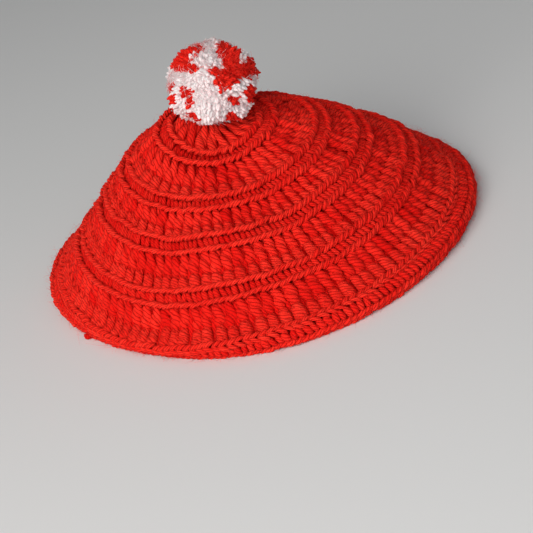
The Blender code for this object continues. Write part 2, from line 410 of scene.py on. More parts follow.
class Yarn:
    """Collects strands and joins them into one object. share runs from 0 to 1 along a strand,
    and across from -1 to 1."""

    def __init__(self, rng, rings=LOOP_RINGS, sides=SIDES):
        self.rng, self.sides, self.rings = rng, sides, rings
        self.share = np.linspace(0, 1, rings)[None]
        self.across = 2 * self.share - 1
        self.places, self.lengths, self.tints = [], [], []

    def add(self, points, out, radius, flat=1.0, tint=None, twist=1.0):
        """Lays strands along routes. tint runs from 0, dark, to 1, light: random tone, and in some
        rounds painted light and shade as well. twist is the number of turns of the plies against the
        usual."""
        radius = np.broadcast_to(radius, points.shape[:2])
        points = points.copy()
        points[..., 2] = np.maximum(points[..., 2], 0.7 * flat * radius)
        laid = tubes(points, out, radius, flat, self.sides)
        laid[..., 2] = np.maximum(laid[..., 2], LOWEST)
        self.places.append(laid)
        start = self.rng.uniform(0, 1, (len(points), 1))
        self.lengths.append(travelled(points) * twist + start)
        if tint is None:
            tint = self.rng.uniform(0.25, 0.75, len(points))
        self.tints.append(np.broadcast_to(tint, len(points)))

    def lay(self, azimuth, run, height, radius, **facts):
        """Lays strands on the crown's cloth."""
        self.add(*on_cloth(azimuth, run, height), radius, **facts)

    def make(self, name, material, slot, solid):
        """Makes one piece of all the strands, with their plies' UV map and their tints."""
        ring, side, corners, starts, across = strand_shape(self.sides, self.rings)
        places = np.concatenate(self.places)
        lengths = np.concatenate(self.lengths)
        tints = np.concatenate(self.tints)
        count, per = places.shape[:2]
        mesh = bpy.data.meshes.new(name)
        mesh.vertices.add(count * per)
        mesh.vertices.foreach_set("co", places.astype(np.float32).ravel())
        order = (corners[None] + np.arange(count)[:, None] * per).ravel()
        mesh.loops.add(len(order))
        mesh.loops.foreach_set("vertex_index", order.astype(np.int32))
        first = (starts[None] + np.arange(count)[:, None] * len(corners)).ravel()
        mesh.polygons.add(len(first))
        mesh.polygons.foreach_set("loop_start", first.astype(np.int32))
        mesh.update(calc_edges=True)
        uv = np.stack(
            [lengths[:, ring[corners]], np.broadcast_to(across, (count, len(across)))], -1
        )
        mesh.uv_layers.new(name="strand").data.foreach_set("uv", uv.astype(np.float32).ravel())
        shade = mesh.attributes.new("tint", "FLOAT", "POINT")
        shade.data.foreach_set("value", np.repeat(tints, per).astype(np.float32))
        mesh.shade_smooth()
        mesh.materials.append(material)
        finish_piece(placed(mesh), slot, solid)


def placed(mesh):
    """An object at the origin for a finished mesh."""
    obj = bpy.data.objects.new(mesh.name, mesh)
    bpy.context.scene.collection.objects.link(obj)
    return obj


def turned(name, section):
    """A closed mesh with these sections all round: (turns, levels, 3)."""
    turns, levels = section.shape[:2]
    bm = bmesh.new()
    bmesh.ops.create_grid(bm, x_segments=turns, y_segments=levels - 1, size=0.5)
    for vertex in bm.verts:
        step = round((vertex.co.x + 0.5) * turns) % turns
        level = round((vertex.co.y + 0.5) * (levels - 1))
        vertex.co = section[step, level]
    bmesh.ops.remove_doubles(bm, verts=bm.verts, dist=1e-6)
    bmesh.ops.recalc_face_normals(bm, faces=bm.faces)
    mesh = bpy.data.meshes.new(name)
    bm.to_mesh(mesh)
    bm.free()
    mesh.shade_smooth()
    return mesh


def finish_piece(obj, slot, *nodes):
    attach(obj, "root")
    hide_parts(*nodes)


def ease(t):
    """From 0 to 1 and back to 0 along a strand, flat in the middle."""
    return 1 - (2 * t - 1) ** 4


def arch(x):
    """From 0 to 1 and back to 0 across a strand, round in the middle."""
    return 1 - x * x


def at_azimuth(azimuth, low, high):
    """low at the left front of the crown and high at its right, blended between."""
    turn = np.mod(np.degrees(azimuth) - RIGHT_START, 360)
    rising = np.clip(turn / RIGHT_BLEND, 0, 1)
    return low + (high - low) * rising * np.clip((RIGHT_TURN - turn) / RIGHT_BLEND, 0, 1)


def stitch_azimuths(stitches, offset, rng):
    """Places of stitches all round, in a column, each a little off."""
    places = (np.arange(stitches) + offset + rng.normal(0, PLACE_SPREAD, stitches)) * TURN / stitches
    return places[:, None]


def packed_azimuths(count, offset, rng):
    """Places of loops all round, closer together at the crown's left front, as it was worked,
    and the distance from each to the next."""
    turn = np.linspace(0, 2 * TURN, AZIMUTHS + 1)
    passed = turn + CLOSER * np.sin(turn - math.radians(CLOSEST))
    centre = np.interp(stitch_azimuths(count, offset, rng) + LOOPS_START, passed, turn)
    return centre, np.diff(centre, axis=0, append=centre[:1] + TURN)


def spacing(azimuth, run):
    """Mean distance from each stitch's middle line to the next on either side."""
    places = on_cloth(azimuth, run, 0.0)[0]
    gaps = np.linalg.norm(np.roll(places, -1, 0) - places, axis=-1)
    return (gaps + np.roll(gaps, 1, 0)) / 2


# Tall rounds. A pair holds the values at the crown's left front and at its right.

FIRST_START = 0.085  # how far behind the crown's middle the first round's posts come together
TIE_RISE = 0.005  # how far the pompom's tie draws up the crown's middle
TIE_SPREAD = 0.07
SAG_AZIMUTH = 249  # where the last round sags at the front, in degrees
SAG_SPREAD = 16
SAG_RUN = 0.855
SAG_REACH = 0.035
SAG_DEPTH = 0.0020
UNEVENNESS = (1.0, 2.2)  # what the spreads of lean and level are taken times
LEAN_SPREAD = 0.10
LEVEL_SPREAD = 0.00030
THICKNESS_SPREAD = 0.06
FOOT_SPREAD = 0.03
TINT_SPREAD = 0.15
POST_TWIST = (1.0, 1.5)
POST_DIP = (0.0024, 0.0013)  # how far the ends of a post dive beside the ridges
SAG_PAINTED_SHADE = 0.2  # how much darker painted shade makes the posts of the sag
FOOT_SHIFT = 0.45  # where a foot stands, as a share of its post's lean
FOOT_DIP = 0.0024
WRAPS = 2  # turns of yarn round the foot of a post
WRAP_SLOPE = (0.009, 0.022)
WRAP_SINK = 0.0012


def from_middle(azimuth, run, row):
    """Places of a round of posts. The first round starts from under the pompom's back half,
    where its ties hold the crown, and each later one from the ridge before it."""
    if row.foot > 0:
        return azimuth, run
    left = FIRST_START * (row.end - run) / (row.end - row.start)
    x, y = run * np.cos(azimuth), run * np.sin(azimuth) + left
    return np.arctan2(y, x), np.hypot(x, y)


def slack(azimuth, run):
    """How far the last round's posts sink where the cloth sags under the ridge at the front."""
    turn = (np.mod(azimuth, TURN) - math.radians(SAG_AZIMUTH)) / math.radians(SAG_SPREAD)
    along = (run - SAG_RUN) / SAG_REACH
    return SAG_DEPTH * np.exp(-(turn**4) - along * along)


Posts = namedtuple("Posts", "row pitch centre lean level thick foot shade")


def tall_stitches(yarn, rows, size):
    """Rounds of posts, each but the first round's on a plump foot."""
    rng = yarn.rng
    for row in rows:
        count = row.stitches
        pitch = TURN / count
        centre = stitch_azimuths(count, row.offset, rng)
        uneven = at_azimuth(centre, *UNEVENNESS)
        lean = row.lean * pitch + uneven * rng.normal(0, LEAN_SPREAD, (count, 1)) * pitch
        level = uneven * rng.normal(0, LEVEL_SPREAD, (count, 1))
        thick = rng.normal(1, THICKNESS_SPREAD, (count, 1))
        start_angle = rng.normal(0.3, 0.5, (count, 1))
        foot = row.foot + rng.normal(0, FOOT_SPREAD, (count, 1)) * (row.foot > 0)
        shade = rng.uniform(0.1, 0.9, count)
        posts = Posts(row, pitch, centre, lean, level, thick, foot, shade)
        twisted_posts(yarn, posts, start_angle, size)
        if row.end < RIM_CHAIN:
            strands_between(yarn, posts, size)
        if row.foot > 0:
            wrapped_feet(yarn, posts, size)


def twisted_posts(yarn, posts, start_angle, size):
    """Two strands that twist round each other up each post."""
    row, centre, t, rng = posts.row, posts.centre, yarn.share, yarn.rng
    middle = centre + posts.lean * (t - 0.5)
    turns = row.turns * at_azimuth(centre, *POST_TWIST)
    dip = at_azimuth(centre, *POST_DIP)
    # The first round has no feet, and its posts are tinted lighter: painted light where the pompom
    # shades them. Those of the sag are tinted darker: painted shade.
    sagging = row.start < SAG_RUN < row.end
    dull = SAG_PAINTED_SHADE * slack(centre[:, 0], SAG_RUN) / SAG_DEPTH * sagging
    for half in (0.0, math.pi):
        angle = start_angle + TURN * turns * t + half
        azimuth = middle - size.pair_spread * posts.pitch * np.cos(angle)
        run = row.start + (row.end - row.start) * (1.0 - 0.92 * posts.foot) * t
        wide = spacing(*from_middle(middle, run, row))
        azimuth, run = from_middle(azimuth, run, row)
        tied = TIE_RISE * np.exp(-((run / TIE_SPREAD) ** 2))
        height = size.post_level + posts.level + size.pair_lift * np.sin(angle)
        height = height - dip * (1 - ease(t) + t**6) + tied - slack(azimuth, run)
        profile = 0.84 + 0.16 * ease(t) - 0.34 * t**8
        radius = size.post_share * wide * posts.thick * profile
        # Posts take a darker tint than their feet: painted shade on one yarn, added to their random
        # tone.
        tint = 0.7 * posts.shade + rng.uniform(-TINT_SPREAD, TINT_SPREAD, row.stitches)
        tint = tint + 0.4 * (row.foot == 0) - dull
        twist = rng.uniform(0.8, 1.2, (row.stitches, 1))
        yarn.lay(azimuth, run, height, radius, flat=0.8, tint=tint, twist=twist)


def strands_between(yarn, posts, size):
    """A thin strand, low down, between each post and the next."""
    row, t = posts.row, yarn.share
    azimuth = posts.centre + posts.pitch / 2 + posts.lean * (t - 0.5)
    place = from_middle(azimuth, row.start + (row.end - row.start) * t, row)
    radius = size.filler_share * spacing(*place)
    # It takes the darkest tint: painted shade of the gap it lies in.
    yarn.lay(*place, size.filler_level, radius, flat=0.8, tint=0.0)


def wrapped_feet(yarn, posts, size):
    """The plump foot of each post, with the yarn that wraps it."""
    row, pitch, centre, thick = posts.row, posts.pitch, posts.centre, posts.thick
    t, x = yarn.share, yarn.across
    reach = (row.end - row.start) * posts.foot
    seat = centre + posts.lean * FOOT_SHIFT
    run = row.end - reach * (1 - t)
    height = size.foot_level + posts.level - FOOT_DIP * x**4
    azimuth = seat + 0.06 * pitch * x
    profile = 0.82 + 0.18 * ease(t) - 0.24 * (1 - t) ** 4
    radius = size.foot_width * spacing(centre, run) * thick * profile
    # Feet and their wraps take a lighter tint than the posts: painted light on one yarn, added to
    # their random tone.
    tint = 0.35 + 0.5 * posts.shade
    yarn.lay(azimuth, run, height, radius, flat=0.58, tint=tint, twist=1.6)
    for wrap in range(WRAPS):
        middle = row.end - reach * (1 - (wrap + 0.55) / WRAPS)
        slope = at_azimuth(centre, *WRAP_SLOPE)
        height = size.foot_level + posts.level + size.foot_lift * arch(x) - WRAP_SINK
        azimuth, run = seat + 0.33 * pitch * x, middle + slope * x
        radius = size.yarn_radius * thick * (0.70 + 0.50 * arch(x))
        uneven = tint + yarn.rng.uniform(-TINT_SPREAD, TINT_SPREAD, row.stitches)
        yarn.lay(azimuth, run, height, radius, flat=0.8, tint=uneven, twist=0.5)


# Ridges, chain and short rounds

LOOPS = 1.8  # loops of a rope for each stitch
LOOP_SLOPE = (0.0066, 0.0115)
LOOP_SPREAD = 0.0013
LOOP_ARCH = 0.0011
WAVER = 0.0018  # how far a rope strays to either side
CHAIN_LOOPS = 1.5
CHAIN_ASIDE = 0.0075
CHAIN_SLANT = 0.0100
CHAIN_ARCH = 0.0008
KNOB_ARCH = 0.0012
KNOB_RISE = (0.0, 0.0011)


def wavering(azimuth, rng, waves=9):
    """A slow random wave round the hat, about 1 high, for ropes that don't run quite evenly."""
    total = 0.0
    for turns in rng.integers(5, 40, waves):
        total = total + np.sin(turns * azimuth + rng.uniform(0, TURN))
    return total / math.sqrt(waves / 2)


def ridge_loops(yarn, run, stitches, offset, size, rise, slopes=LOOP_SLOPE, fat=1.0):
    """A rope of slanted loops, each laid over the start of the next."""
    rng, x = yarn.rng, yarn.across
    count = round(LOOPS * stitches)
    centre, pitch = packed_azimuths(count, offset, rng)
    place = run - at_azimuth(centre, *slopes) * x + rng.normal(0, LOOP_SPREAD, (count, 1))
    place = place + WAVER * wavering(centre, rng)
    height = rise + rng.normal(0, LEVEL_SPREAD, (count, 1)) + LOOP_ARCH * (1 - 1.9 * x * x)
    fat = fat * at_azimuth(centre, 1.0, 1.15)
    profile = fat * size.yarn_radius * (0.56 + 0.38 * arch(x))
    radius = profile * rng.normal(1, 0.07, (count, 1))
    # Ropes take light tints, as raised yarn that catches the light, and darker ones at the crown's
    # right, which faces away from it: painted light and shade.
    tint = rng.uniform(0.45, 1.0, count) - at_azimuth(centre[:, 0], 0.0, 0.35)
    yarn.lay(centre + 0.86 * pitch * x, place, height, radius, tint=tint, twist=0.7)


def chain(yarn, run, stitches, offset, size, rise):
    """A chain of V shapes that lies flat on the cloth."""
    rng, x = yarn.rng, yarn.across
    count = round(CHAIN_LOOPS * stitches)
    centre, pitch = packed_azimuths(count, offset, rng)
    waver = WAVER * wavering(centre, rng)
    for side in (-1, 1):
        place = run + side * CHAIN_ASIDE + CHAIN_SLANT * x * side + waver
        height = rise + CHAIN_ARCH * (1 - 2.2 * x * x)
        profile = size.yarn_radius * (0.55 + 0.42 * arch(x))
        radius = profile * rng.normal(1, 0.07, (count, 1))
        tint = rng.uniform(0.4, 0.9, count)
        yarn.lay(centre + 0.72 * pitch * x, place, height, radius, tint=tint, twist=0.7)


def short_stitches(yarn, row, size, level):
    """Small plump knobs, two for each stitch, packed between two ridges."""
    rng, t = yarn.rng, yarn.share
    count = 2 * row.stitches
    pitch = TURN / count
    centre = stitch_azimuths(count, 0.35, rng)
    azimuth = centre + (0.30 + rng.normal(0, 0.15, (count, 1))) * pitch * yarn.across
    run = row.inner + (row.outer - row.inner) * (0.10 + 0.80 * t)
    level = level + at_azimuth(centre, *KNOB_RISE)
    height = level + KNOB_ARCH * ease(t) + rng.normal(0, LEVEL_SPREAD, (count, 1))
    wide = spacing(centre, run)
    radius = size.knob_width * wide * rng.normal(1, 0.08, (count, 1)) * (0.65 + 0.35 * ease(t))
    # Knobs take the dark half of the tints: painted shade of their recess between the ridges. They
    # are a little lighter towards the crown's right.
    tint = rng.uniform(0.0, 0.5, count) + at_azimuth(centre[:, 0], 0.0, 0.15)
    yarn.lay(azimuth, run, height, radius, flat=0.9, tint=tint, twist=1.3)


# Materials

# Sizes of the patterns, in millimetres
PLY_STRAY = 4.167
FIBRE_CLUMP = 1.111
DYE_PATCH = 28.57
FELT_GRAIN = 1.667
BOARD_GRAIN = 25.0


def fill(made, **links):
    """Fills a node's sockets. A link is a value, one of another node's outputs or another node,
    for its first output."""
    for name, source in links.items():
        name = name.replace("_", " ")
        socket = made.inputs[int(name[1:])] if name[1:].isdigit() else made.inputs[name]
        if isinstance(source, bpy.types.Node):
            source = source.outputs[0]
        if isinstance(source, bpy.types.NodeSocket):
            made.id_data.links.new(source, socket)
        else:
            socket.default_value = source


def node(tree, kind, settings=(), **links):
    """Adds a node with its settings and links."""
    made = tree.nodes.new("ShaderNode" + kind)
    for name, value in dict(settings).items():
        setattr(made, name, value)
    fill(made, **links)
    return made


def new_material(name):
    """A material, its tree and its shader."""
    material = bpy.data.materials.new(name)
    material.use_nodes = True
    return material, material.node_tree, material.node_tree.nodes["Principled BSDF"]


def plied_yarn(name, look, dark, light, groove, relief_strength=0.5, depth=0.0):
    """Plied wool and acrylic yarn, spun and twisted: soft, matt, with a groove between its plies,
    darkened with painted shade, and a bloom of loose fibre that lightens its edges."""
    material, tree, shader = new_material(name)
    place = node(tree, "TexCoord").outputs["Object"]
    stray = node(tree, "TexNoise", Vector=place, Scale=1000 / PLY_STRAY, Detail=1, Roughness=0.5)
    fibre = node(tree, "TexNoise", Vector=place, Scale=1000 / FIBRE_CLUMP, Detail=3, Roughness=0.6)
    dye = node(tree, "TexNoise", Vector=place, Scale=1000 / DYE_PATCH, Detail=2, Roughness=0.5)
    # The plies are a wave that winds round the strand, with a groove where it is 0.
    strand = node(tree, "SeparateXYZ", Vector=node(tree, "UVMap", {"uv_map": "strand"}))
    turns = node(
        tree, "Math", {"operation": "MULTIPLY_ADD"},
        i0=strand, i1=1 / look.ply_lay, i2=strand.outputs["Y"],
    )
    bent = node(tree, "Math", {"operation": "MULTIPLY"}, i0=stray, i1=2.4)
    phase = node(
        tree, "Math", {"operation": "MULTIPLY_ADD"}, i0=turns, i1=math.pi * look.plies, i2=bent
    )
    wave = node(tree, "Math", {"operation": "SINE"}, i0=phase)
    ply = node(tree, "Math", {"operation": "ABSOLUTE"}, i0=wave)
    double = node(tree, "Math", {"operation": "MULTIPLY"}, i0=phase, i1=2.0)
    fine_wave = node(tree, "Math", {"operation": "SINE"}, i0=double)
    fine = node(tree, "Math", {"operation": "ABSOLUTE"}, i0=fine_wave)
    both = node(tree, "Math", {"operation": "MULTIPLY_ADD"}, i0=fine, i1=0.20, i2=ply)
    relief = node(tree, "Math", {"operation": "MULTIPLY_ADD"}, i0=fibre, i1=0.5, i2=both)
    bump = node(tree, "Bump", Height=relief, Strength=relief_strength, Distance=look.ply_depth)
    tint = node(tree, "Attribute", {"attribute_name": "tint"}).outputs["Fac"]
    patch = node(tree, "Math", {"operation": "MULTIPLY_ADD"}, i0=dye, i1=0.5, i2=-0.25)
    shade = node(tree, "Math", {"operation": "ADD", "use_clamp": True}, i0=tint, i1=patch)
    body = node(
        tree, "Mix", {"data_type": "RGBA"}, Factor=shade, i6=(*dark, 1), i7=(*light, 1)
    )
    # Painted shade: where the ply wave is low, the darker groove colour is blended into the body
    # colour.
    groove_shade = node(
        tree, "MapRange", {"interpolation_type": "SMOOTHSTEP"},
        Value=both, i1=0.05, i2=0.85, i3=0.0, i4=1.0,
    )
    colour = node(
        tree, "Mix", {"data_type": "RGBA"}, Factor=groove_shade, i6=(*groove, 1), i7=body.outputs[2]
    )
    fill(
        shader, Base_Color=colour.outputs[2], Normal=bump, Roughness=0.85, Metallic=0.0, IOR=1.5,
        Specular_IOR_Level=0.10, Sheen_Weight=look.bloom, Sheen_Roughness=0.45,
        Sheen_Tint=(*light, 1), Subsurface_Weight=depth, Subsurface_Scale=0.003,
        Subsurface_Radius=(1.0, 0.7, 0.7),
    )
    return material


@functools.lru_cache(maxsize=None)
def red_yarn():
    look = bpy.context.scene.beret_look
    return plied_yarn(
        "red_plied_yarn", look, look.red_dark, look.red_light, look.red_groove_shade, depth=0.3
    )


@functools.lru_cache(maxsize=None)
# The headband's yarn is the red yarn a step darker, built from its groove and deep colours: painted
# shade under the hat.
def band_yarn():
    look = bpy.context.scene.beret_look
    return plied_yarn("red_band_yarn", look, look.red_groove_shade, look.red_dark, look.red_deep_shade)


@functools.lru_cache(maxsize=None)
def white_yarn():
    look = bpy.context.scene.beret_look
    return plied_yarn(
        "white_cut_yarn", look, look.white, look.white, look.white_deep_shade,
        relief_strength=0.25, depth=0.5,
    )


def loose_fibre(name, dark, light):
    """Single spun fibres that have worked out of the yarn: thin and dull, some in shade."""
    material, tree, shader = new_material(name)
    tint = node(tree, "Attribute", {"attribute_name": "tint"}).outputs["Fac"]
    colour = node(
        tree, "Mix", {"data_type": "RGBA"}, Factor=tint, i6=(*dark, 1), i7=(*light, 1)
    )
    colour = colour.outputs[2]
    fill(shader, Base_Color=colour, Roughness=0.7, Metallic=0.0, IOR=1.5, Specular_IOR_Level=0.2)
    return material


def packed_yarn(name, look):
    """Cut yarn packed tight in the pompom's middle, white or red as the ends above it: soft
    and dull, with no thread to be made out."""
    material, tree, shader = new_material(name)
    red = node(tree, "Attribute", {"attribute_name": "red"}).outputs["Fac"]
    colour = node(
        tree, "Mix", {"data_type": "RGBA"}, Factor=red, i6=(*look.white, 1), i7=(*look.red_dark, 1)
    )
    colour = colour.outputs[2]
    fill(shader, Base_Color=colour, Roughness=0.95, Metallic=0.0, IOR=1.5, Specular_IOR_Level=0.1)
    return material


def matt_cloth(name, dark, light, grain_size, depth):
    """Felted wool, as on the backs of the stitches, or flat paint: dull, with a fine grain."""
    material, tree, shader = new_material(name)
    place = node(tree, "TexCoord").outputs["Object"]
    grain = node(tree, "TexNoise", Vector=place, Scale=1000 / grain_size, Detail=4, Roughness=0.6)
    colour = node(
        tree, "Mix", {"data_type": "RGBA"}, Factor=grain, i6=(*dark, 1), i7=(*light, 1)
    )
    bump = node(tree, "Bump", Height=grain, Strength=0.8, Distance=depth)
    fill(
        shader, Base_Color=colour.outputs[2], Normal=bump, Roughness=0.95, Metallic=0.0, IOR=1.5,
        Specular_IOR_Level=0.1,
    )
    return material


# Settings


def metres(name, description, default, low=0.0, high=0.006):
    """A setting that is a length."""
    return bpy.props.FloatProperty(
        name=name, description=description, default=default, min=low, max=high, unit="LENGTH"
    )


def portion(name, description, default):
    """A setting that is a share of something else."""
    return bpy.props.FloatProperty(
        name=name, description=description, default=default, min=0.0, max=1.0
    )


def hue(name, description, hex_colour):
    """A setting that is a colour."""
    return bpy.props.FloatVectorProperty(
        name=name, description=description, default=linear(hex_colour), subtype="COLOR", size=3,
        min=0.0, max=1.0,
    )


class BeretSizes(bpy.types.PropertyGroup):
    """Sizes of the yarn and of how it lies."""

    yarn_radius: metres("Yarn radius", "Half the thickness of one strand", 0.0016)
    post_share: portion("Post strand", "Its radius as a share of a stitch", 0.38)
    pair_spread: portion("Pair spread", "Strand of a post from its middle, in stitches", 0.20)
    pair_lift: metres("Pair lift", "How far one strand of a post lies over the other", 0.0017)
    post_level: metres("Post level", "Middle of a post above the cloth", -0.0021, low=-0.006)
    filler_share: portion("Strand between posts", "Its radius as a share of a stitch", 0.25)
    filler_level: metres("Level between posts", "Middle of that strand", -0.0038, low=-0.006)
    foot_width: portion("Foot width", "Foot of a post: its radius as a share of a stitch", 0.50)
    foot_level: metres("Foot level", "Middle of a foot above the cloth", -0.0014, low=-0.006)
    foot_lift: metres("Foot lift", "How far the wraps round a foot stand out", 0.0026)
    knob_width: portion("Knob width", "Knob of a short round: radius as a share of its place", 0.48)
    pompom_strand: metres("Pompom strand", "Half the thickness of a cut yarn end", 0.0018)
    fibre_radius: metres("Fibre radius", "Half the thickness of one loose fibre", 0.00007)


class BeretLook(bpy.types.PropertyGroup):
    """Colours of the yarn and of its plies, with the darker reds and pinks of painted shade."""

    red_dark: hue("Red, dark strands", "Darkest strands of the red yarn", "DA1009")
    red_light: hue("Red, light strands", "Lightest strands of the red yarn", "F93324")
    # The groove and deep colours are painted shade: of the grooves between plies, of the gaps
    # between strands and of the headband under the hat. The deep white also darkens some loose white
    # fibres.
    red_groove_shade: hue("Red, between plies", "Red in the grooves between plies", "AA0704")
    red_deep_shade: hue("Red, deep", "Red of the stitch backs that show between strands", "B80502")
    white: hue("White yarn", "White yarn of the pompom, tinged pink by the red", "F0E4E3")
    white_deep_shade: hue("White yarn, deep", "White yarn deep in the pompom", "E8C4C9")
    plies: bpy.props.IntProperty(
        name="Plies", description="Grooves round one strand between its spun threads",
        default=5, min=1, max=12,
    )
    ply_lay: metres("Ply lay", "Length in which a ply goes once round", 0.015, 0.002, 0.1)
    ply_depth: metres("Ply depth", "Depth of the groove between two plies", 0.0008)
    bloom: portion("Fibre bloom", "Strength of the loose fibre's sheen", 0.10)


# Operators

BACKING_TURNS = 150
BACKING_DEPTH = 0.0032
BACKING_SEAT = 0.001  # how far the backing lies inside the cloth's inner face
INNER_END = 0.90  # how far out the crown's inner side is dressed
RIDGE_RISE = 0.0009
SHORT_LEVEL = -0.0026
CHAIN_RISE = 0.0002
RIM_LEVEL = -0.0020
EDGE_RISE = -0.0016
EDGE_SLOPE = (0.004, 0.007)
UNDER_ROPE = (0.008, -0.0010)  # how far past its round it runs, and its height
BRIM_END_LEVEL = -0.0018
KNOT_AZIMUTH = 201  # where a small knot of yarn stands on the edge
KNOT_RUN = 1.052


class BERET_OT_backing(bpy.types.Operator):
    """Make the inner cloth that lies under the strands"""

    bl_idname = "beret.backing"
    bl_label = "Backing cloth"

    def execute(self, context):
        azimuth = np.arange(BACKING_TURNS) * TURN / BACKING_TURNS
        runs = np.concatenate([np.linspace(0, RIM_CHAIN, 60), np.linspace(1.0, CLOTH_END, 34)])
        outer = on_cloth(azimuth[:, None], runs[None], -BACKING_DEPTH)[0]
        outer[:, 0] = outer[:, 0].mean(0)
        raised = (0, 0, WALL - BACKING_SEAT)
        parts = np.linspace(1, 0, 12)
        under = np.stack([underside(azimuth, part) + raised for part in parts], 1)
        inner = on_cloth(
            azimuth[:, None], np.linspace(INNER_END, 0, 40)[None], BACKING_SEAT - WALL
        )[0]
        inner[:, -1] = inner[:, -1].mean(0)
        mesh = turned("backing_cloth", np.concatenate([outer, under, inner], 1))
        # The backing stands for the backs of the stitches. Its deep red is painted shade for the
        # gaps between strands.
        deep = context.scene.beret_look.red_deep_shade
        mesh.materials.append(matt_cloth("stitch_backs_in_painted_shade", deep, deep, FELT_GRAIN, 0.0006))
        finish_piece(placed(mesh), "red_yarn", "crown")
        return {"FINISHED"}


class BERET_OT_tall_rounds(bpy.types.Operator):
    """Make the rounds of tall stitches on top of the crown"""

    bl_idname = "beret.tall_rounds"
    bl_label = "Tall rounds"

    def execute(self, context):
        for number, row in enumerate(TALL_ROUNDS, 1):
            yarn = Yarn(np.random.default_rng(100 + number), POST_RINGS)
            tall_stitches(yarn, [row], context.scene.beret_sizes)
            yarn.make(f"tall_round_{number}", red_yarn(), "red_yarn", "crown")
        return {"FINISHED"}


class BERET_OT_ridges(bpy.types.Operator):
    """Make the ridges and the short rounds between them"""

    bl_idname = "beret.ridges"
    bl_label = "Ridges and short rounds"

    def execute(self, context):
        size = context.scene.beret_sizes
        rng = np.random.default_rng(200)
        ridges, shorts = Yarn(rng), Yarn(rng)
        for row in SHORT_ROUNDS:
            for run, offset in ((row.inner, 0.2), (row.outer, 0.6)):
                ridge_loops(ridges, run, row.stitches, offset, size, RIDGE_RISE)
            short_stitches(shorts, row, size, SHORT_LEVEL)
        ridges.make("ridges", red_yarn(), "red_yarn", "crown")
        shorts.make("short_rounds", red_yarn(), "red_yarn", "crown")
        return {"FINISHED"}


def knot(yarn, size):
    """Two short strands that cross, on the edge."""
    x = yarn.across
    for side in (-1, 1):
        azimuth = math.radians(KNOT_AZIMUTH) + 0.014 * side * x
        height = 0.0012 + 0.0016 * arch(x)
        radius = size.yarn_radius * (0.8 + 0.4 * arch(x))
        yarn.lay(azimuth, KNOT_RUN + 0.012 * x, height, radius, tint=0.0, twist=0.7)


class BERET_OT_rim(bpy.types.Operator):
    """Make the chain and the rounds that go over the rim and in under the hat"""

    bl_idname = "beret.rim"
    bl_label = "Rim and underside"

    def execute(self, context):
        size = context.scene.beret_sizes
        rng = np.random.default_rng(300)
        rim, stitches = Yarn(rng), RIM_ROUND.stitches
        chain(rim, RIM_CHAIN, stitches, 0.5, size, CHAIN_RISE)
        short_stitches(rim, RIM_ROUND, size, RIM_LEVEL)
        for run in EDGE_ROPES:
            ridge_loops(rim, run, stitches, 0.1, size, EDGE_RISE, EDGE_SLOPE, fat=1.3)
        knot(rim, size)
        rim.make("rim_rounds", red_yarn(), "red_yarn", "crown")
        under = Yarn(rng)
        tall_stitches(under, UNDER_ROUNDS, size)
        past, rise = UNDER_ROPE
        for row in UNDER_ROUNDS:
            ridge_loops(under, row.end + past, row.stitches, 0.1, size, rise)
        short_stitches(under, BRIM_END_ROUND, size, BRIM_END_LEVEL)
        under.make("underside_rounds", red_yarn(), "red_yarn", "crown")
        return {"FINISHED"}


class BERET_OT_inside(bpy.types.Operator):
    """Make the stitches that show on the crown's inner side"""

    bl_idname = "beret.inside"
    bl_label = "Inside of the crown"

    def execute(self, context):
        size = context.scene.beret_sizes
        rng = np.random.default_rng(400)
        yarn = Yarn(rng, SHORT_RINGS)
        t, x = yarn.share, yarn.across

        def lay_behind(azimuth, run, height, radius, **facts):
            run = np.minimum(run, INNER_END)
            yarn.lay(azimuth, run, -WALL - 0.0002 - height, radius, **facts)

        for row in TALL_ROUNDS:
            centre = stitch_azimuths(row.stitches, row.offset, rng)
            azimuth = centre + 0.12 * TURN / row.stitches * np.sin(TURN * t)
            run = row.start + (min(row.end, INNER_END) - row.start) * t
            radius = 0.0030 * (0.6 + 0.4 * ease(t))
            lay_behind(azimuth, run, 0.0012 * ease(t) - 0.0018, radius, flat=0.75)
        for row in SHORT_ROUNDS:
            centre = stitch_azimuths(row.stitches, 0.0, rng)
            azimuth = centre + 0.62 * TURN / row.stitches * x
            for run in (row.inner, (row.inner + row.outer) / 2, row.outer):
                radius = size.yarn_radius * (0.6 + 0.45 * ease(t))
                lay_behind(azimuth, run + 0.004 * x, 0.0014 * ease(t) - 0.0014, radius)
        yarn.make("inner_side_stitches", red_yarn(), "red_yarn", "crown")
        return {"FINISHED"}


# Headband

BAND_SEAT = 0.0014  # how far the core lies inside the band's two faces
BAND_EDGE = 0.001
BAND_TURNS = 120
LEG_DEPTH = 0.0016
LEG_BULGE = 0.0006
LEG_EDGE = 0.0015
CORD_EDGE = 0.0009
CORD_ASIDE = 0.0010


def band_place(azimuth, height, depth):
    """Places on the headband: height above the floor, depth out from its inner face."""
    azimuth, height, depth = np.broadcast_arrays(azimuth, height, depth)
    points = opening(azimuth, depth)
    points[..., 2] = height
    return points, np.stack([np.cos(azimuth), np.sin(azimuth), 0 * azimuth], -1)


def band_core(look):
    """A plain ring that fills the headband under its strands."""
    azimuth = np.arange(BAND_TURNS) * TURN / BAND_TURNS
    low, high = BAND_BOTTOM + BAND_EDGE, BAND_TOP - BAND_EDGE
    near, far = BAND_SEAT, BAND_WALL - BAND_SEAT
    corners = ((near, low), (near, high), (far, high), (far, low), (near, low))
    section = np.stack([band_place(azimuth, height, depth)[0] for depth, height in corners], 1)
    mesh = turned("headband_core", section)
    # The core's felt runs from the deep red to the groove red: painted shade under the band's
    # strands.
    felt = matt_cloth("band_backs_in_painted_shade", look.red_deep_shade, look.red_groove_shade, FELT_GRAIN, 0.0005)
    mesh.materials.append(felt)
    return placed(mesh)


